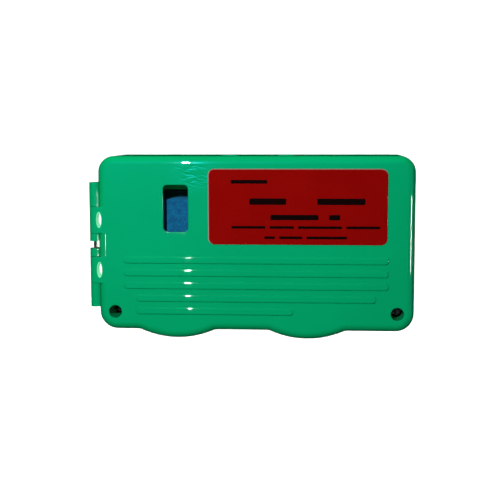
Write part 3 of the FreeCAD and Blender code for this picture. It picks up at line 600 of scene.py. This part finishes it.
def white_paper():
    made, tree, shader = material("white_paper")
    white, warm = (0.96, 0.96, 0.96, 1), (0.94, 0.94, 0.935, 1)
    fibre = noise(tree, 900, detail=3.0, rough=0.6)
    shade(tree, shader, Base_Color=mottled(tree, fibre, white, warm), Roughness=0.9)
    return made


def paper_stage():
    """A round floor with a curved rise, in metres, that throws neither light nor shadow on the part."""
    hole, level, flat, bend, top = 0.001, 0.5, 1.2, 0.6, 2.2
    below = 0.02 * MM
    count, rise = 96, 12
    profile = [(flat + bend, top - below)]
    for step in range(rise, -1, -1):
        angle = math.pi / 2 * step / rise
        profile.append((flat + bend * math.sin(angle), bend - bend * math.cos(angle) - below))
    profile += [(level, -below), (hole, -below)]
    verts, faces = spun(profile, count)
    rows = len(profile)
    faces.append(tuple(step * rows + rows - 1 for step in range(count)))
    mesh = mesh_from("paper_stage", verts, faces)
    made = bpy.data.objects.new("paper_stage", mesh)
    scene.collection.objects.link(made)
    mesh.materials.append(white_paper())
    made.visible_diffuse = False
    made.visible_glossy = False
    made.visible_shadow = False
    return made


def linked_to(name, obj, state):
    """A group that says whether a lamp lights only this object or all but it."""
    made = bpy.data.collections.new(name)
    made.objects.link(obj)
    made.collection_objects[0].light_linking.link_state = state
    return made


stage = paper_stage()
stage_only = linked_to("stage_only", stage, "INCLUDE")
all_but_stage = linked_to("all_but_stage", stage, "EXCLUDE")
front_only = linked_to("front_only", nodes["front_shell"], "INCLUDE")


def area_light(
    name, place_at, aim, size, power, lights=all_but_stage, diffuse=True, glossy=True, color=(1, 1, 1)
):
    """A rectangular lamp: its place, aim and size in millimetres, power in watts and what it lights."""
    data = bpy.data.lights.new(name, "AREA")
    data.shape = "RECTANGLE"
    data.size = size[0] * MM
    data.size_y = size[1] * MM
    data.energy = power
    data.color = color
    made = bpy.data.objects.new(name, data)
    made.location = Vector(place_at) * MM
    made.rotation_euler = (Vector(aim) - Vector(place_at)).to_track_quat("-Z", "Y").to_euler()
    made.visible_camera = False
    made.visible_diffuse = diffuse
    made.visible_glossy = glossy
    made.light_linking.receiver_collection = lights
    scene.collection.objects.link(made)


# The key is narrow along the ribs and long across them, so its glints on them are short.
area_light("key", (-83, 160, 430), (-83, 0, 32), (5, 70), 1.68)
# Strips that only draw glints on the rounded edges at the left and right.
area_light("left_strip", (-215, -75, 480), (-57, -9, 32), (76, 9), 0.14, front_only, diffuse=False)
area_light("right_strip", (480, -43, 300), (58, 0, 32), (64, 24), 0.7, diffuse=False)
# The floor's own lamp.
area_light("stage_lamp", (0, 0, 1700), (0, 0, 0), (1200, 1200), 62, stage_only)
# A weak lamp inside the case, for light that comes through the plastic.
area_light("inner_glow", (-30, 27, 20), (-30, 20, 3), (8, 4), 0.0003, glossy=False, color=(0.03, 1, 0.7))
# Fills without glints. Those of three sides stand low, so that the rounded front edges there stay dark.
FILL_SIZE = (250, 60)
HALF_LENGTH, HALF_WIDTH, HALF_DEPTH = 60, 35, 16
area_light("under_fill", (0, 0, -400), (0, 0, 0), (300, 300), 0.8, glossy=False)
area_light("top_fill", (0, 420, HALF_DEPTH), (0, 0, HALF_DEPTH), FILL_SIZE, 0.8, glossy=False)
for side, x, y in (("left", -1, 0), ("right", 1, 0), ("low", 0, -1)):
    lamp = (x * 330, y * 300, -284)
    wall = (x * HALF_LENGTH, y * HALF_WIDTH, HALF_DEPTH)
    area_light(side + "_fill", lamp, wall, FILL_SIZE, 0.42, glossy=False)


def dim_world():
    """Dim white light from all round that makes no reflections."""
    world = bpy.data.worlds.new("studio")
    world.use_nodes = True
    background = world.node_tree.nodes["Background"]
    background.inputs["Color"].default_value = (1, 1, 1, 1)
    background.inputs["Strength"].default_value = 0.08
    scene.world = world
    world.cycles_visibility.glossy = False


dim_world()
scene.view_settings.view_transform = "Standard"


# Camera: almost straight above the front face, a little towards the top and the right.


def photo_camera():
    """The camera that was fitted to the photo's outline, with its place and aim in millimetres."""
    place_at = Vector((27.34, 41.65, 428.88)) * MM
    aim = Vector((-1.886, -2.184, 32.0)) * MM
    roll = math.radians(0.098)
    forward = (aim - place_at).normalized()
    right = forward.cross(Vector((math.sin(roll), math.cos(roll), 0))).normalized()
    up = right.cross(forward)
    data = bpy.data.cameras.new("camera")
    data.sensor_width = 36
    data.lens = 75.63
    made = bpy.data.objects.new("camera", data)
    scene.collection.objects.link(made)
    turn = Matrix((right, up, -forward)).transposed().to_4x4()
    made.matrix_world = Matrix.Translation(place_at) @ turn
    scene.camera = made


photo_camera()
